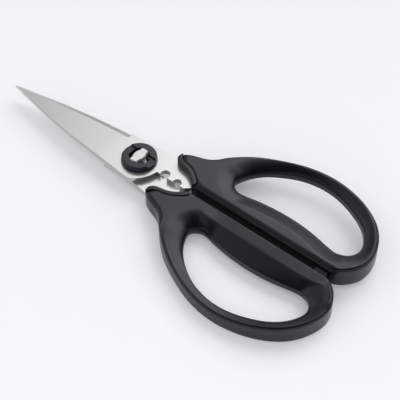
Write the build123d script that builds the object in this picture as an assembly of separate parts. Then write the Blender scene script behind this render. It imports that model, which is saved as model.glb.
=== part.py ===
from build123d import *
import os

# Poultry shears: two pivoted halves, each a steel blade with a moulded handle.
# Frame: origin on the pivot axis at table level, +X towards the blade tips, +Z up.
# The lower half's handle is on the +Y side, the upper half's handle on the -Y side.
# The second half of each mirrored feature is the first turned half a turn about the X axis
# that runs through the shear plane.

# ---- driving dimensions, mm ----
overall_height = 14.0          # both halves together
shear_plane = overall_height / 2
handle_thickness = 11.2        # one handle, whose outer face is level with the whole shears
blade_thickness = 2.8
tip_thickness = 1.9            # the ground face tapers towards the tip
taper_start = 18.0
shear_gap = 0.1
blade_length = 89.0            # pivot axis to tip
lower_blade_inset = 0.8        # the lower blade is this much narrower on each side
heel_inset = 0.5               # and its heel this share of that
bevel_depth = 1.0
edge_bevel_width = 0.6

gap_half = 1.3                 # half the gap between the closed handles
handle_end = -117.5            # where the flat inner face of a handle ends
collar_shift = (-1.5, 2.3)     # from the collar's front curve to its back curve
collar_step = 0.3              # the collar lies this much below each face of the handle
core_wall = 1.6                # grip material between the finger loop and the core
core_band = 2.0
core_bottom = 2.6
core_height = 3.2
tang_cover = 1.4               # core material above and below the tang
loop_round = 2.4               # rounding of the finger loop's rims
outer_round = 2.0              # rounding of the handle's outer rims
loop_steps = 24                # points taken along the finger loop's curve
long_rim = 60.0                # rims longer than this are rounded
tang_end = -42.0

stud_radius = 4.0
stud_flat = 3.3                # half the distance across the stud's two flats
stud_neck_radius = 3.4         # above the upper blade
stud_flange_radius = 6.0
stud_flange_height = 1.5
back_washer_radius = 7.0
back_washer_height = 1.0
head_length = 10.6
head_end_width = 4.6
head_mid_width = 6.2
head_bottom = 11.0
head_top = 13.4
cap_radius = 9.5
cap_top_radius = 9.0
base_cap_radius = 8.6
cap_height = 3.1
bush_radius = 6.25
bush_flat = 5.7
bore_clearance = 0.08
head_clearance = 0.15
recess_floor = 10.95
channel_width = 6.8
channel_depth = 1.0
retainer_radius = 7.6
retainer_height = 0.6
washer_radius = 9.0
washer_recess = 0.45
washer_height = 0.5

notch_radius = 2.6
bone_notch_radius = 2.4
pad_length = 6.0
pad_height = 5.6
pad_depth = 1.7
pad_centre = -113.2
pad_gap_half = 0.15

# ---- levels worked out from them ----
lower_top = shear_plane - shear_gap / 2
lower_bottom = lower_top - blade_thickness
upper_bottom = shear_plane + shear_gap / 2
upper_top = upper_bottom + blade_thickness
cap_top = upper_top + cap_height
flange_top = lower_bottom - back_washer_height
flange_bottom = flange_top - stud_flange_height
washer_bottom = lower_top - washer_recess
washer_top = washer_bottom + washer_height

# ---- outlines, for the half whose handle is on +Y ----
front_curve = [(-33.5, 1.3), (-29.6, 4.8), (-24.5, 7.6), (-18.6, 9.0), (-16.0, 11.4)]
collar_tip = (-16.0, 13.8)
outer_curve = [collar_tip, (-18.4, 16.2), (-22.6, 18.2), (-29.0, 20.6), (-34.8, 25.7),
               (-45.7, 35.6), (-58.4, 42.7), (-71.7, 47.8), (-86.0, 49.8), (-100.4, 47.9),
               (-114.2, 42.1), (-123.0, 34.6), (-128.2, 25.2), (-129.7, 17.0), (-128.2, 10.8),
               (-125.2, 6.2), (-121.6, 3.0), (handle_end, gap_half)]
finger_hole = [(-48.2, 19.5), (-52.2, 27.7), (-58.9, 34.7), (-66.6, 39.9), (-75.6, 43.3),
               (-85.2, 44.4), (-94.9, 43.1), (-104.2, 39.8), (-112.8, 34.9), (-119.2, 27.2),
               (-120.8, 21.2), (-117.8, 15.6), (-111.2, 14.0), (-101.4, 15.7), (-92.0, 17.2),
               (-82.4, 17.7), (-72.6, 17.3), (-63.2, 16.0), (-53.6, 14.5), (-49.2, 15.6)]
spine_curve = [(0.0, 12.9), (20.0, 11.0), (40.0, 9.0), (60.0, 6.0), (80.0, 2.3), (87.8, 0.8)]
edge_curve = [(87.8, -0.8), (80.0, -2.3), (60.0, -6.0), (40.0, -9.0), (20.0, -11.0), (14.5, -11.5)]
heel_curve = [(14.5, -11.5), (10.0, -11.5), (5.2, -11.6), (-2.0, -12.2), (-8.4, -12.8), (-15.5, -13.2)]
shoulder_curve = [(-3.0, 13.0), (-7.6, 10.4), (-10.4, 6.6), (-12.4, 0.8)]
tang_inner = [(-12.4, 0.8), (-30.0, 0.8), (-33.4, -2.4), (-36.5, -4.6), (tang_end, -6.0)]
tang_outer = [(-15.5, -13.2), (-24.0, -15.0), (tang_end, -17.0)]
tang_holes = [(-30.0, -11.0), (-38.5, -11.6)]
tang_hole_radius = 2.0
core_block = [(-38.0, 3.8), (-33.0, 7.8), (-26.0, 11.4), (-21.0, 12.6), (-21.0, 16.0),
              (-30.0, 19.0), (-45.6, 19.6), (-45.6, 3.8)]
notch_centre = (-16.8, -0.7)
bone_notch_centre = (-25.1, 0.0)


def swapped(shape):
    """Turn a shape of one half onto the other half."""
    about = Axis((0, 0, shear_plane), (1, 0, 0))
    return shape.rotate(about, 180)


def slab(face, low, high):
    """A flat face drawn at z = 0, made a solid between two levels."""
    return extrude(Pos(0, 0, low) * face, high - low)


def disc(radius, low, high):
    return Pos(0, 0, low) * Cylinder(radius, high - low, align=(Align.CENTER, Align.CENTER, Align.MIN))


def block(size_x, size_y, low, high, centre=(0, 0)):
    """A box of a given width and length between two levels."""
    base = (Align.CENTER, Align.CENTER, Align.MIN)
    return Pos(centre[0], centre[1], low) * Box(size_x, size_y, high - low, align=base)


# ---- blades ----
def blade_blank(inset):
    """The flat steel blank of the upper half, its blade narrowed by inset on each side."""
    spine = [(x, y - inset * x / blade_length) for x, y in spine_curve]
    edge = [(x, y + inset * min(1, x / 60)) for x, y in edge_curve]
    tip = (blade_length - inset / 2, 0)
    heel = [edge[-1]] + [(x, y + heel_inset * inset * (x > -10)) for x, y in heel_curve[1:]]
    outline = [
        Spline(*spine),
        ThreePointArc(spine[-1], tip, edge[0]),
        Spline(*edge),
        Spline(*heel),
        Polyline(*tang_outer),
        Line(tang_outer[-1], tang_inner[-1]),
        Polyline(*tang_inner[::-1]),
        Spline(*shoulder_curve[::-1]),
        Line(shoulder_curve[0], spine[0]),
    ]
    return make_face(outline), edge


def ground_blade(inset):
    """The upper half's blade with its taper and its edge bevels, which run out past the tip."""
    blank, edge = blade_blank(inset)
    blade = slab(blank, upper_bottom, upper_top)
    for x, y in tang_holes:
        blade -= Pos(x, y) * disc(tang_hole_radius, upper_bottom, upper_top)
    taper = Polyline(
        (taper_start, upper_top), (blade_length + 1, upper_bottom + tip_thickness),
        (blade_length + 1, upper_top + 1), (taper_start, upper_top + 1), close=True)
    blade -= extrude(Plane.XZ * make_face(taper), 20, both=True)
    ground = [(blade_length + 1, edge[0][1] + 0.5)] + edge
    for start, end in zip(ground[:-1], ground[1:]):
        blade -= edge_bevel(start, end)
    return blade


def edge_bevel(start, end):
    """The wedge that is ground away along one straight stretch of the cutting edge."""
    sections = []
    for x, y in (start, end):
        width = 1.6 + 1.4 * (blade_length - x) / 75
        local_top = upper_top - (upper_top - upper_bottom - tip_thickness) * max(
            0, (x - taper_start) / (blade_length - taper_start))
        profile = Polyline(
            (y - 3, upper_bottom), (y, upper_bottom), (y + edge_bevel_width, local_top - bevel_depth),
            (y + edge_bevel_width + width, local_top), (y + edge_bevel_width + width, upper_top + 1),
            (y - 3, upper_top + 1), close=True)
        plane = Plane(origin=(x, 0, 0), x_dir=(0, 1, 0), z_dir=(1, 0, 0))
        sections.append(plane * make_face(profile))
    return loft(sections, ruled=True)


def make_upper_blade():
    blade = ground_blade(0)
    blade -= Pos(*notch_centre) * disc(notch_radius, upper_bottom, upper_top)
    blade -= Pos(*bone_notch_centre) * disc(bone_notch_radius, upper_bottom, upper_top)
    blade -= bush(0)
    return blade - disc(retainer_radius, upper_bottom, upper_bottom + retainer_height)


def make_lower_blade():
    blade = swapped(ground_blade(lower_blade_inset))
    blade -= Pos(*bone_notch_centre) * disc(bone_notch_radius, lower_bottom, lower_top)
    blade -= stud_shank(lower_bottom, lower_top)
    return blade - disc(washer_radius, washer_bottom, lower_top)


# ---- pivot ----
def stud_shank(low, high):
    """The part of the stud that is keyed into the lower blade by its two flats."""
    return disc(stud_radius, low, high) & block(2 * stud_flat, 4 * stud_radius, low, high)


def bush(extra):
    """The keyed bush of the cap, which fills the hole in the upper blade."""
    body = disc(bush_radius + extra, upper_bottom, upper_top)
    return body & block(4 * bush_radius, 2 * (bush_flat + extra), upper_bottom, upper_top)


def make_pivot_stud():
    stud = disc(stud_flange_radius, flange_bottom, flange_top)
    stud += stud_shank(flange_top, washer_bottom)
    stud += disc(stud_radius, washer_bottom, upper_top)
    stud += disc(stud_neck_radius, upper_top, head_bottom)
    half_x, half_y, mid = head_end_width / 2, head_length / 2, head_mid_width / 2
    quarter = [(half_x, half_y), (half_x, 0.62 * half_y), (mid, 0.2 * half_y)]
    right = quarter + [(x, -y) for x, y in quarter[::-1]]
    left = [(-x, -y) for x, y in right]
    head = slab(make_face(Polyline(*right, *left, close=True)), head_bottom, head_top)
    head &= disc(half_y, head_bottom, head_top)
    head = chamfer(head.faces().sort_by(Axis.Z)[-1].edges(), 0.5)
    return stud + head


def make_stud_back_washer():
    return disc(back_washer_radius, flange_top, lower_bottom) - stud_shank(flange_top, lower_bottom)


def make_pivot_base_cap():
    cap = disc(base_cap_radius, 0, lower_bottom)
    cap = fillet(cap.faces().sort_by(Axis.Z)[0].edges(), 1.0)
    cap -= disc(stud_flange_radius, flange_bottom, flange_top)
    return cap - disc(back_washer_radius, flange_top, lower_bottom)


def make_friction_washer():
    ring = disc(washer_radius, washer_bottom, washer_top)
    return ring - disc(stud_radius, washer_bottom, washer_top)


def make_pivot_cap():
    body = Pos(0, 0, upper_top) * Cone(
        cap_radius, cap_top_radius, cap_height, align=(Align.CENTER, Align.CENTER, Align.MIN))
    body = fillet(body.faces().sort_by(Axis.Z)[-1].edges(), 0.7)
    body += bush(0)
    body -= disc(stud_radius + bore_clearance, upper_bottom, upper_top + bore_clearance)
    body -= disc(stud_neck_radius + bore_clearance, upper_top, cap_top)
    slot_x = head_length + 2 * head_clearance
    slot_y = head_end_width + 2 * head_clearance
    body -= block(slot_x, slot_y, upper_bottom, cap_top)
    body -= disc(head_length / 2 + head_clearance, recess_floor, cap_top)
    return body - block(4 * cap_radius, channel_width, cap_top - channel_depth, cap_top)


def make_cap_retainer():
    ring = disc(retainer_radius, upper_bottom, upper_bottom + retainer_height)
    return ring - bush(0)


# ---- handles, drawn for the lower half on +Y ----
def shifted(points, step):
    return [(x + step[0], y + step[1]) for x, y in points]


def handle_face():
    outline = [
        Spline(*front_curve),
        Line(front_curve[-1], collar_tip),
        Spline(*outer_curve),
        Line(outer_curve[-1], front_curve[0]),
    ]
    return make_face(outline)


def hole_face(grow=0.0):
    """The finger loop's opening, grown by a width all round, its curve made of two halves."""
    loop = Spline(*finger_hole, periodic=True).edge()
    steps = [step / loop_steps for step in range(loop_steps)]
    outward = [(loop % at).cross(Vector(0, 0, 1)) for at in steps]
    points = [loop @ at + out * grow for at, out in zip(steps, outward)]
    grown = Spline(*points, periodic=True).edge()
    return make_face([grown.trim(0, 0.5), grown.trim(0.5, 1)])


def behind_collar():
    """Everything on the handle's side of the collar's back curve."""
    back = shifted(front_curve, collar_shift)
    start, end = back[0], back[-1]
    outline = [
        Line((start[0] + 2, -5), start),
        Spline(*back),
        Line(end, (end[0] + 3, 20)),
        Polyline((end[0] + 3, 20), (end[0] + 3, 70), (-150, 70), (-150, -5), (start[0] + 2, -5)),
    ]
    return make_face(outline)


def make_core(blade):
    """The hard skeleton: a block round the tang and a band round the finger loop."""
    band_face = hole_face(core_wall + core_band) - hole_face(core_wall)
    band = slab(band_face, core_bottom, core_bottom + core_height)
    block_face = make_face(Polyline(*core_block, close=True))
    cover = slab(block_face, lower_bottom - tang_cover, lower_top + tang_cover)
    return band + (cover - blade)


def make_collar(blade):
    face = handle_face() - behind_collar()
    collar = slab(face, collar_step, handle_thickness - collar_step)
    return collar - blade


def make_grip(core, blade, pad):
    """The soft grip, with its long outer rims and the rims of its finger loop rounded."""
    grip = slab(handle_face() & behind_collar(), 0, handle_thickness)
    rims = grip.faces().filter_by(Axis.Z).edges()
    grip = fillet([edge for edge in rims if edge.length > long_rim], outer_round)
    grip -= slab(hole_face(), 0, handle_thickness)
    half_loop = hole_face().edges()[0].length
    rims = [edge for edge in grip.edges() if abs(edge.length - half_loop) < 0.1]
    grip = fillet(rims, loop_round)
    return grip - core - blade - pad


def make_stop_pad():
    pad = block(pad_length, gap_half + pad_depth - pad_gap_half,
                shear_plane - pad_height / 2, shear_plane + pad_height / 2,
                centre=(pad_centre, (gap_half + pad_depth + pad_gap_half) / 2))
    return chamfer(pad.faces().sort_by(Axis.Y)[0].edges(), 0.4)


# ---- every node ----
parts = {}
parts["lower_blade"] = make_lower_blade()
parts["pivot_stud"] = make_pivot_stud()
parts["stud_back_washer"] = make_stud_back_washer()
parts["pivot_base_cap"] = make_pivot_base_cap()
parts["friction_washer"] = make_friction_washer()
parts["upper_blade"] = make_upper_blade()
parts["pivot_cap"] = make_pivot_cap()
parts["cap_retainer"] = make_cap_retainer()

pad = make_stop_pad()
core = make_core(parts["lower_blade"])
parts["lower_handle_core"] = core
parts["lower_handle_collar"] = make_collar(parts["lower_blade"])
parts["lower_handle_grip"] = make_grip(core, parts["lower_blade"], pad)
parts["lower_stop_pad"] = pad
for name in ("handle_core", "handle_collar", "handle_grip", "stop_pad"):
    parts["upper_" + name] = swapped(parts["lower_" + name])

os.makedirs("parts", exist_ok=True)
for name, shape in parts.items():
    shape.label = name
    export_step(shape, "parts/" + name + ".step")
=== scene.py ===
import math

import bmesh
import bpy
import numpy as np
from mathutils import Matrix, Vector


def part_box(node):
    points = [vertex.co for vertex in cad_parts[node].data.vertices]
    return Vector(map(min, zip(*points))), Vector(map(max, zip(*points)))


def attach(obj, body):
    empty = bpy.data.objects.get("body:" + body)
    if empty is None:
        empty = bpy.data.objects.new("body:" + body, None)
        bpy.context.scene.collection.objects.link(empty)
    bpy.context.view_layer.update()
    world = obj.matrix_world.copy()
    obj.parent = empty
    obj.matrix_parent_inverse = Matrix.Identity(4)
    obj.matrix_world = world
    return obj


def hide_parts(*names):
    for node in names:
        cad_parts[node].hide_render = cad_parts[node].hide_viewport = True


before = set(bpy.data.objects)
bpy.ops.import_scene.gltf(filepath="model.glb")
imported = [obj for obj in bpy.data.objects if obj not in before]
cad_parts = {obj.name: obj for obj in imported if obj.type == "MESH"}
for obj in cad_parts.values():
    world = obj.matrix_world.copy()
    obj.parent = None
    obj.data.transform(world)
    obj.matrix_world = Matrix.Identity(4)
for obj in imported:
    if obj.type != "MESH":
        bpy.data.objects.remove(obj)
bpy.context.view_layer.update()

# Lengths in this script are millimetres, and MM turns them into metres. A place that is looked at
# from, or lit from, is an azimuth and an elevation in degrees, as direction() takes them.
MM = 0.001
LOWER, UPPER = "lower_half", "upper_half"

# Camera
CAMERA_TARGET = (-39.26, -0.88, 6.25)
CAMERA_SIDE = (218.98, 49.3)
CAMERA_DISTANCE = 595.3
CAMERA_LENS = 107.1
CAMERA_TILT = 0.38              # degrees about the line of sight

# Light from the surroundings. An edge is two cosines from an axis: dark, and full strength.
WINDOW_TOWARDS = (4, 50)        # the main window, behind the object
WINDOW_EDGE = (0.78, 0.955)
TOP_EDGE = (-0.97, -0.84)       # the window ends below the zenith
WINDOW_STRENGTH = 2.4
SIDE_TOWARDS = (108, 42)        # a dimmer window past the blades' tips
SIDE_EDGE = (0.75, 0.97)
SIDE_STRENGTH = 0.6
WALL_EDGE = (-0.6, -0.3)        # the room's walls glow near the horizon and below it
WALL_STRENGTH = 0.5
FILL = 0.01                     # everything else

# The lamp that lights the table, in metres and watts, and the table
LAMP_TOWARDS = (218.7, 50)
LAMP_DISTANCE = 1.5
LAMP_SIZE = 2.5
LAMP_POWER = 14.5
FLOOR_HALF = 6.0
FLOOR_DROP = 0.05               # how far the table lies below the object's underside
FLOOR_GLOW = 0.205

# Handles, as the lower one lies: its inner face up, its outer face on the table
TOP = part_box("upper_handle_grip")[1][2] / MM
STATIONS = 400                  # sections round the finger loop
SLICE_LEVEL = 2.45              # where the CAD grip is cut to find its outlines
FINE = 1440                     # points on the finger loop's fine outline
PLATEAU = 11.05                 # the inner face, a little under its CAD box
EDGE_HIGH, EDGE_LOW = 6.4, 4.2  # the finger loop's narrow upright wall lies between these levels,
FRONT_HIGH = 5.2                # and its upper end is lower at the loop's front
LEG_SLOPE = 0.1                 # the inner leg's face leans this much towards the loop
WAIST_X = -32.0                 # the bolster's flared front ends here
ARCH_DIP = 3.5                  # how far the outer arch's inner face sinks below the plateau
FLOOR_GAP = 0.02                # the outer face stays this far above the table
RIM_IN = (0.45, 2.4, 0.8, 1.0)  # the inner face's rim radii: shell, bolster, gap side and front
RIM_OUT = (1.0, 2.4, 3.0, 1.0)  # the same for the outer face
GROOVE = (0.72, 0.3, -0.3)      # beside the inner face's rim: distance from it, width and height
BEAD = (1.5, 0.5, 0.2)          # beside the groove
END_GROOVE = (0.9, 0.32, 0.5)   # in the outer face, round the loop's rear end

# Collars
COLLAR_POINTS = 64
COLLAR_RADIUS = 0.5


# ---------------------------------------------------------------- camera, light and floor
def direction(azimuth, elevation):
    """The unit vector towards a place seen at an azimuth and an elevation, in degrees."""
    azimuth, elevation = math.radians(azimuth), math.radians(elevation)
    return Vector((math.sin(azimuth) * math.cos(elevation),
                   -math.cos(azimuth) * math.cos(elevation),
                   math.sin(elevation)))


def add_camera():
    """A long lens that looks down on the object from one side."""
    target = Vector(CAMERA_TARGET) * MM
    away = direction(*CAMERA_SIDE)
    tilt = Matrix.Rotation(math.radians(CAMERA_TILT), 4, "Z")
    data = bpy.data.cameras.new("camera")
    data.sensor_width = 36
    data.lens = CAMERA_LENS
    data.clip_start = 0.01
    camera = bpy.data.objects.new("camera", data)
    turn = (-away).to_track_quat("-Z", "Y").to_matrix().to_4x4()
    place = Matrix.Translation(target + away * CAMERA_DISTANCE * MM)
    camera.matrix_world = place @ turn @ tilt
    bpy.context.collection.objects.link(camera)
    bpy.context.scene.camera = camera


def add_studio_light():
    """A large soft window behind the object, a dimmer one beside it, and dim walls."""
    world = bpy.data.worlds.new("studio")
    bpy.context.scene.world = world
    world.use_nodes = True
    nodes, links = world.node_tree.nodes, world.node_tree.links
    coord = nodes.new("ShaderNodeTexCoord")

    def facing(axis, low, high):
        """1 towards an axis, 0 away from it, with a smooth edge between two cosines."""
        dot = nodes.new("ShaderNodeVectorMath")
        dot.operation = "DOT_PRODUCT"
        dot.inputs[1].default_value = axis
        edge = nodes.new("ShaderNodeMapRange")
        edge.interpolation_type = "SMOOTHSTEP"
        edge.inputs["From Min"].default_value = low
        edge.inputs["From Max"].default_value = high
        links.new(coord.outputs["Generated"], dot.inputs[0])
        links.new(dot.outputs["Value"], edge.inputs["Value"])
        return edge.outputs["Result"]

    def combined(operation, first, second):
        """One result or number multiplied by another, or added to it."""
        node = nodes.new("ShaderNodeMath")
        node.operation = operation
        for socket, value in zip(node.inputs, (first, second)):
            if isinstance(value, float):
                socket.default_value = value
            else:
                links.new(value, socket)
        return node.outputs["Value"]

    window = facing(direction(*WINDOW_TOWARDS), *WINDOW_EDGE)
    below_top = facing((0, 0, -1), *TOP_EDGE)
    lit = combined("MULTIPLY", combined("MULTIPLY", window, below_top), WINDOW_STRENGTH)
    side = combined("MULTIPLY", facing(direction(*SIDE_TOWARDS), *SIDE_EDGE), SIDE_STRENGTH)
    walls = combined("MULTIPLY", facing((0, 0, -1), *WALL_EDGE), WALL_STRENGTH)
    strength = combined("ADD", combined("ADD", combined("ADD", lit, side), walls), FILL)
    background = nodes["Background"]
    background.inputs["Color"].default_value = (0.985, 0.98, 1.0, 1)
    links.new(strength, background.inputs["Strength"])
    bpy.context.scene.view_settings.view_transform = "Standard"


def add_fill_light():
    """A large soft lamp that lights the table and leaves no reflection in the object."""
    away = direction(*LAMP_TOWARDS)
    data = bpy.data.lights.new("fill", "AREA")
    data.size = LAMP_SIZE
    data.energy = LAMP_POWER
    lamp = bpy.data.objects.new("fill", data)
    turn = away.to_track_quat("Z", "Y").to_matrix().to_4x4()
    lamp.matrix_world = Matrix.Translation(away * LAMP_DISTANCE) @ turn
    lamp.visible_glossy = False
    bpy.context.collection.objects.link(lamp)


def add_floor():
    """A pale table that is a little lit from behind, as a light table is."""
    material = new_material("floor", (0.86, 0.855, 0.87), 0.9, specular=0.1)
    shader = material.node_tree.nodes["Principled BSDF"]
    shader.inputs["Emission Color"].default_value = (0.985, 0.965, 1.0, 1)
    shader.inputs["Emission Strength"].default_value = FLOOR_GLOW
    mesh = bpy.data.meshes.new("floor")
    corners = [(FLOOR_HALF * x, FLOOR_HALF * y, 0) for x, y in ((-1, -1), (1, -1), (1, 1), (-1, 1))]
    mesh.from_pydata(corners, [], [(0, 1, 2, 3)])
    floor = bpy.data.objects.new("floor", mesh)
    floor.location.z = -FLOOR_DROP * MM
    mesh.materials.append(material)
    bpy.context.collection.objects.link(floor)


# ---------------------------------------------------------------- materials
def new_material(name, color, roughness, metallic=0.0, specular=0.5, tint=(1, 1, 1)):
    """A material with even values, which the functions below vary."""
    material = bpy.data.materials.new(name)
    material.use_nodes = True
    shader = material.node_tree.nodes["Principled BSDF"]
    shader.inputs["Base Color"].default_value = (*color, 1)
    shader.inputs["Roughness"].default_value = roughness
    shader.inputs["Metallic"].default_value = metallic
    shader.inputs["Specular IOR Level"].default_value = specular
    shader.inputs["Specular Tint"].default_value = (*tint, 1)
    return material


def noise(material, scale, detail=2.0, stretch=(1, 1, 1)):
    """A noise texture in object coordinates; scale counts features per millimetre."""
    nodes, links = material.node_tree.nodes, material.node_tree.links
    coord = nodes.new("ShaderNodeTexCoord")
    mapping = nodes.new("ShaderNodeMapping")
    mapping.inputs["Scale"].default_value = [s / MM for s in stretch]
    texture = nodes.new("ShaderNodeTexNoise")
    texture.inputs["Scale"].default_value = scale
    texture.inputs["Detail"].default_value = detail
    links.new(coord.outputs["Object"], mapping.inputs["Vector"])
    links.new(mapping.outputs["Vector"], texture.inputs["Vector"])
    return texture.outputs["Fac"]


def remap(material, value, low, high):
    """Spread a noise value over a range."""
    nodes, links = material.node_tree.nodes, material.node_tree.links
    node = nodes.new("ShaderNodeMapRange")
    node.inputs["From Min"].default_value = 0.3
    node.inputs["From Max"].default_value = 0.7
    node.inputs["To Min"].default_value = low
    node.inputs["To Max"].default_value = high
    links.new(value, node.inputs["Value"])
    return node.outputs["Result"]


def add_bump(material, height, strength, distance_mm):
    """Give the surface a relief."""
    nodes, links = material.node_tree.nodes, material.node_tree.links
    bump = nodes.new("ShaderNodeBump")
    bump.inputs["Strength"].default_value = strength
    bump.inputs["Distance"].default_value = distance_mm * MM
    links.new(height, bump.inputs["Height"])
    links.new(bump.outputs["Normal"], nodes["Principled BSDF"].inputs["Normal"])


def mottled(material, value, dark, light):
    """Vary the base colour between two tones."""
    nodes, links = material.node_tree.nodes, material.node_tree.links
    mix = nodes.new("ShaderNodeMix")
    mix.data_type = "RGBA"
    mix.inputs["A"].default_value = (*dark, 1)
    mix.inputs["B"].default_value = (*light, 1)
    links.new(value, mix.inputs["Factor"])
    links.new(mix.outputs["Result"], nodes["Principled BSDF"].inputs["Base Color"])


def rough(material, value, low, high):
    """Vary the roughness between two values."""
    links = material.node_tree.links
    shader = material.node_tree.nodes["Principled BSDF"]
    links.new(remap(material, value, low, high), shader.inputs["Roughness"])


def soft_touch(name, tone, low, high):
    """Moulded satin plastic: fine spark-eroded texture and faint patches of gloss."""
    material = new_material(name, tone, low, tint=(0.94, 0.91, 1.0))
    patches = noise(material, 0.06, 3)
    mottled(material, patches, [0.75 * c for c in tone], [1.25 * c for c in tone])
    rough(material, patches, low, high)
    add_bump(material, noise(material, 3.0, 2), 0.25, 0.02)
    return material


def ground_steel(name, tone, roughness, stretch):
    """Satin steel with a fine grain that runs one way."""
    material = new_material(name, tone, roughness, metallic=0.72)
    grain = noise(material, 1.0, 4, stretch)
    mottled(material, grain, [0.98 * c for c in tone], [1.01 * c for c in tone])
    add_bump(material, grain, 0.03, 0.002)
    return material


def polish_edges(material, flat, polished):
    """Make every face but the level ones more metallic, as a ground bevel is shinier than satin."""
    nodes, links = material.node_tree.nodes, material.node_tree.links
    coord = nodes.new("ShaderNodeTexCoord")
    parts = nodes.new("ShaderNodeSeparateXYZ")
    upright = nodes.new("ShaderNodeMath")
    upright.operation = "ABSOLUTE"
    edge = nodes.new("ShaderNodeMapRange")
    edge.inputs["From Min"].default_value = 0.985
    edge.inputs["From Max"].default_value = 0.998
    edge.inputs["To Min"].default_value = polished
    edge.inputs["To Max"].default_value = flat
    links.new(coord.outputs["Normal"], parts.inputs["Vector"])
    links.new(parts.outputs["Z"], upright.inputs[0])
    links.new(upright.outputs["Value"], edge.inputs["Value"])
    links.new(edge.outputs["Result"], nodes["Principled BSDF"].inputs["Metallic"])


# ---------------------------------------------------------------- outlines taken from the frame
def slice_loops(node, level):
    """The closed outlines of a CAD node at one level, longest first, as arrays of x, y."""
    bm = bmesh.new()
    bm.from_mesh(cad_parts[node].data)
    bmesh.ops.remove_doubles(bm, verts=bm.verts, dist=1e-6)
    bmesh.ops.bisect_plane(
        bm, geom=bm.verts[:] + bm.edges[:] + bm.faces[:], plane_co=(0, 0, level * MM),
        plane_no=(0, 0, 1), clear_inner=True, clear_outer=True)
    loops, seen = [], set()
    for start in bm.verts:
        if start in seen:
            continue
        loop = [start]
        seen.add(start)
        while True:
            ahead = [e.other_vert(loop[-1]) for e in loop[-1].link_edges]
            ahead = [v for v in ahead if v not in seen]
            if not ahead:
                break
            seen.add(ahead[0])
            loop.append(ahead[0])
        loops.append(oriented(np.array([v.co[:2] for v in loop]) / MM))
    bm.free()
    return sorted(loops, key=perimeter, reverse=True)


def perimeter(loop):
    """How long a closed loop is."""
    return np.linalg.norm(np.roll(loop, -1, 0) - loop, axis=1).sum()


def oriented(loop):
    """The loop run anticlockwise."""
    x, y = loop[:, 0], loop[:, 1]
    area = np.sum(x * np.roll(y, -1) - y * np.roll(x, -1))
    return loop if area > 0 else loop[::-1]


def along(loop, count, start_near):
    """Points evenly spaced along a closed loop, starting at its point nearest a place."""
    first = np.argmin(np.linalg.norm(loop - start_near, axis=1))
    loop = np.roll(loop, -first, 0)
    closed = np.vstack([loop, loop[:1]])
    travelled = np.r_[0, np.cumsum(np.linalg.norm(np.diff(closed, axis=0), axis=1))]
    wanted = np.linspace(0, travelled[-1], count, endpoint=False)
    return np.stack([np.interp(wanted, travelled, closed[:, k]) for k in (0, 1)], 1)


def eased(values, passes, keep=None):
    """Smooth a closed run of values, leaving the kept places as they are."""
    out = np.array(values, float)
    for _ in range(passes):
        blurred = 0.25 * np.roll(out, 1, 0) + 0.5 * out + 0.25 * np.roll(out, -1, 0)
        if keep is not None:
            blurred[keep] = out[keep]
        out = blurred
    return out


def corners_of(loop, sharpest=0.6, reach=2):
    """Where a closed loop turns sharply within a few points."""
    ahead = np.roll(loop, -reach, 0) - loop
    behind = loop - np.roll(loop, reach, 0)
    turn = np.abs(np.angle((ahead[:, 0] + 1j * ahead[:, 1]) / (behind[:, 0] + 1j * behind[:, 1])))
    return turn > sharpest


def distance_to(points, loop):
    """How far each point is from a closed loop of points."""
    best = np.full(len(points), np.inf)
    for start, end in zip(loop, np.roll(loop, -1, 0)):
        step = end - start
        share = np.clip(((points - start) @ step) / max(step @ step, 1e-12), 0, 1)
        best = np.minimum(best, np.linalg.norm(points - start - share[:, None] * step, axis=1))
    return best


def smooth_step(value, low, high):
    """0 below one value and 1 above another, with a smooth rise between."""
    t = np.clip((value - low) / (high - low), 0, 1)
    return t * t * (3 - 2 * t)


# ---------------------------------------------------------------- building meshes
def new_piece(name, verts, faces, material):
    """A smooth-shaded mesh object from points in millimetres."""
    mesh = bpy.data.meshes.new(name)
    mesh.from_pydata([tuple(v) for v in np.array(verts) * MM], [], faces)
    mesh.validate()
    bm = bmesh.new()
    bm.from_mesh(mesh)
    bmesh.ops.recalc_face_normals(bm, faces=bm.faces)
    bm.to_mesh(mesh)
    bm.free()
    mesh.materials.append(material)
    mesh.shade_smooth()
    piece = bpy.data.objects.new(name, mesh)
    bpy.context.collection.objects.link(piece)
    return piece


def turned(verts):
    """Half a turn about the X axis in the shear plane: a lower shape on the upper half."""
    verts = np.array(verts)
    return np.stack([verts[:, 0], -verts[:, 1], TOP - verts[:, 2]], 1)


def ring_faces(rows, columns):
    """Quads of a grid that closes on itself both ways."""
    faces = []
    for i in range(rows):
        j = (i + 1) % rows
        for k in range(columns):
            m = (k + 1) % columns
            faces.append((i * columns + k, j * columns + k, j * columns + m, i * columns + m))
    return faces


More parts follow.
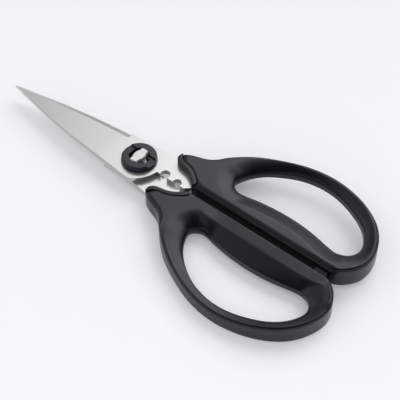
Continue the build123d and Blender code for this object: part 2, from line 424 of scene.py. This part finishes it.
# ---------------------------------------------------------------- handles
def handle_curves():
    """The outline and the finger loop of the lower handle, matched point by point."""
    outer_raw, hole_raw = slice_loops("lower_handle_grip", SLICE_LEVEL)[:2]
    centre = hole_raw.mean(0)
    outer = along(outer_raw, STATIONS, outer_raw[np.argmax(outer_raw[:, 0])])
    outer = eased(outer, 3, corners_of(outer))
    hole_fine = eased(along(hole_raw, FINE, hole_raw[np.argmax(hole_raw[:, 0])]), 12)
    span = 0.5 * (hole_raw[:, 0].max() - hole_raw[:, 0].min())
    spine_x = np.clip(outer[:, 0], centre[0] - 0.62 * span, centre[0] + 0.72 * span)
    spine = np.stack([spine_x, np.full(STATIONS, centre[1] - 2)], 1)
    hits = np.array([seen_towards(hole_fine, s, o) for s, o in zip(spine, outer)])
    turns = np.unwrap(2 * np.pi * hits / FINE) * FINE / (2 * np.pi)
    even = FINE * np.arange(STATIONS) / STATIONS
    order = eased(np.maximum.accumulate(turns) - even, 10) + even
    closed = np.vstack([hole_fine, hole_fine[:1]])
    hole = np.stack([np.interp(order % FINE, np.arange(FINE + 1), closed[:, k]) for k in (0, 1)], 1)
    return outer, hole, hole_fine


def seen_towards(curve, start, towards):
    """The index of the curve's point that lies in the direction of a target, seen from a start."""
    want = towards - start
    seen = curve - start
    angle = np.abs(np.angle((seen[:, 0] + 1j * seen[:, 1]) / (want[0] + 1j * want[1])))
    return int(np.argmin(angle))


def section_places(total):
    """Where one section's points lie between the outline (0) and the finger loop (total)."""
    near = np.array([0, 0.08, 0.2, 0.34, 0.48, 0.6, 0.72, 0.86, 1.0, 1.2, 1.5, 1.9, 2.4, 3.0, 3.7])
    near = near * min(1, 0.55 * total / near[-1])
    ahead = np.sin(np.linspace(0, math.pi / 2, 19))[1:]
    return np.r_[near, near[-1] + (total - near[-1]) * ahead]


def rounding(distance, radius):
    """How far a rim rounded to a radius lies below its flat face, at a distance from the edge."""
    depth = np.clip(radius - distance, 0, None)
    return radius - np.sqrt(np.clip(radius ** 2 - depth ** 2, 0, None))


def hollow(distance, width, depth, crease):
    """The hollow beside the finger loop: it starts with a crease and steepens to upright."""
    reach = np.clip(1 - distance / width, 0, 1)
    return depth * ((1 - crease) * (1 - np.sqrt(1 - reach ** 2)) + crease * reach)


def ridge(distance, centre, width, height):
    """A soft ridge, or a groove where the height is negative, along a line beside the rim."""
    return height * np.exp(-((distance - centre) / width) ** 2)


def build_handle():
    """The lower handle as a closed grid of sections round its finger loop."""
    outer, hole, hole_fine = handle_curves()
    x, y = outer.T
    total = np.linalg.norm(outer - hole, axis=1)
    on_gap = smooth_step(y, y.min() + 2.5, y.min() + 0.2) * (x < -30) * (x > -121)
    on_front = ((x > -34) & (y < 12.2)).astype(float) * (1 - on_gap)
    on_arch = (1 - on_gap) * (1 - on_front)
    bolster = smooth_step(x, WAIST_X - 5, WAIST_X + 1) * on_arch
    shell = on_arch * (1 - bolster)

    sunk = smooth_step(-x, 34, 62) * (1 - 0.8 * smooth_step(-x, 84, 126)) * (y > 14)
    inner_face = PLATEAU - ARCH_DIP * eased(sunk * shell, 8)
    places = np.array([section_places(t) for t in total])
    share = places / total[:, None]
    plan = outer[:, None] + share[..., None] * (hole - outer)[:, None]
    shape = share.shape
    flat = plan.reshape(-1, 2)
    to_hole = distance_to(flat, hole_fine[::4]).reshape(shape)
    to_outer = distance_to(flat, outer).reshape(shape)

    def level(values, passes=6):
        return eased(values, passes)[:, None]

    regions = (shell, bolster, on_gap, on_front)
    rim_in = level(sum(radius * region for radius, region in zip(RIM_IN, regions)))
    rim_out = level(sum(radius * region for radius, region in zip(RIM_OUT, regions)))
    hollow_in = level(np.clip(total - 2.0 * shell - 7.5 * on_gap, 3.0, 10.0), 12)
    hollow_out = level(np.clip(total - 1.6 * shell - 3.4 * on_gap, 2.5, 9.0), 12)
    groove = level(shell * smooth_step(-x, 38, 50))
    end_groove = level(shell * smooth_step(-x, 112, 122))

    face = inner_face[:, None]
    at_front = eased(smooth_step(hole[:, 0], -64, -51), 12)[:, None]
    edge_high = EDGE_HIGH + (FRONT_HIGH - EDGE_HIGH) * at_front
    crease = level(0.25 * shell + 0.6 * on_gap * smooth_step(-x, 50, 62) + 0.2 * (1 - shell), 12)
    leg = level(on_gap * smooth_step(-x, 44, 60), 10)
    top = face - rounding(to_outer, rim_in) - leg * LEG_SLOPE * np.clip(to_outer - 1, 0, 7)
    top -= hollow(to_hole, hollow_in, face - edge_high, crease)
    top += groove * (ridge(to_outer, *GROOVE) + ridge(to_outer, *BEAD))
    bottom = rounding(to_outer, rim_out) + hollow(to_hole, hollow_out, EDGE_LOW, crease)
    bottom += end_groove * ridge(to_outer, *END_GROOVE)
    top = np.maximum(top, edge_high)
    top[:, -1], bottom[:, -1] = edge_high[:, 0], EDGE_LOW
    bottom = np.clip(bottom, FLOOR_GAP, None)

    verts = []
    for i in range(STATIONS):
        wall = np.linspace(bottom[i, 0], top[i, 0], 8)[1:-1]
        lip = np.linspace(top[i, -1], bottom[i, -1], 4)[1:-1]
        verts.append(np.c_[plan[i], top[i]])
        verts.append(np.c_[np.tile(hole[i], (len(lip), 1)), lip])
        verts.append(np.c_[plan[i], bottom[i]][::-1])
        verts.append(np.c_[np.tile(outer[i], (len(wall), 1)), wall])
    verts = np.vstack(verts)
    return verts, ring_faces(STATIONS, len(verts) // STATIONS)


def build_collar():
    """The hard lip in front of the lower handle: a curved bar with rounded rims."""
    low, high = [corner[2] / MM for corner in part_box("lower_handle_collar")]
    outline = slice_loops("lower_handle_collar", low + 1)[0]
    outline = along(outline, COLLAR_POINTS, outline[np.argmax(outline[:, 1])])
    ahead = np.roll(outline, -1, 0) - np.roll(outline, 1, 0)
    inward = np.stack([-ahead[:, 1], ahead[:, 0]], 1)
    inward /= np.linalg.norm(inward, axis=1)[:, None]
    rings = []
    for angle in np.radians([90, 66, 44, 22, 0]):
        inset = COLLAR_RADIUS * (1 - math.cos(angle))
        rings.append((inset, low + COLLAR_RADIUS * (1 - math.sin(angle))))
    rings += [(inset, low + high - level) for inset, level in rings[::-1]]
    verts = [np.c_[outline + inward * inset, np.full(len(outline), level)] for inset, level in rings]
    count = COLLAR_POINTS
    last = (len(rings) - 1) * count
    faces = [tuple(range(count))[::-1], tuple(range(last, last + count))]
    for here in range(0, last, count):
        above = here + count
        for i in range(count):
            j = (i + 1) % count
            faces.append((here + i, here + j, above + j, above + i))
    return np.vstack(verts), faces


def add_on_both_halves(part, built, node, material):
    """Put a lower shape on the lower half and, turned over, on the upper half."""
    verts, faces = built
    for side, body, place in (("lower", LOWER, verts), ("upper", UPPER, turned(verts))):
        piece = new_piece(side + "_" + part, place, faces, material)
        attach(piece, body)
        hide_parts(side + "_" + node)


def dress(node, material):
    """Give a CAD node a material of this script."""
    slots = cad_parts[node].data.materials
    slots.clear()
    slots.append(material)


# ---------------------------------------------------------------- put together
add_camera()
add_studio_light()
add_floor()
add_fill_light()
grip = soft_touch("grip_rubber", (0.004, 0.004, 0.005), 0.28, 0.35)
collar = soft_touch("collar_plastic", (0.005, 0.005, 0.006), 0.3, 0.38)
pivot_plastic = soft_touch("pivot_plastic", (0.006, 0.009, 0.012), 0.26, 0.34)
core_nylon = soft_touch("core_nylon", (0.02, 0.02, 0.02), 0.45, 0.55)
pad_rubber = soft_touch("pad_rubber", (0.05, 0.05, 0.053), 0.4, 0.5)
blade_steel = ground_steel("blade_steel", (0.58, 0.58, 0.575), 0.27, (0.06, 1.2, 1))
polish_edges(blade_steel, 0.72, 1.0)
stud_steel = ground_steel("stud_steel", (0.5, 0.5, 0.485), 0.2, (1, 1, 1))
washer_steel = ground_steel("washer_steel", (0.6, 0.6, 0.6), 0.3, (1, 1, 1))
nylon = soft_touch("washer_nylon", (0.6, 0.6, 0.57), 0.45, 0.5)

add_on_both_halves("grip", build_handle(), "handle_grip", grip)
add_on_both_halves("collar", build_collar(), "handle_collar", collar)
for node, material in (("lower_blade", blade_steel), ("upper_blade", blade_steel),
                       ("pivot_stud", stud_steel), ("stud_back_washer", washer_steel),
                       ("cap_retainer", washer_steel), ("pivot_cap", pivot_plastic),
                       ("pivot_base_cap", pivot_plastic), ("friction_washer", nylon),
                       ("lower_handle_core", core_nylon), ("upper_handle_core", core_nylon),
                       ("lower_stop_pad", pad_rubber), ("upper_stop_pad", pad_rubber)):
    dress(node, material)
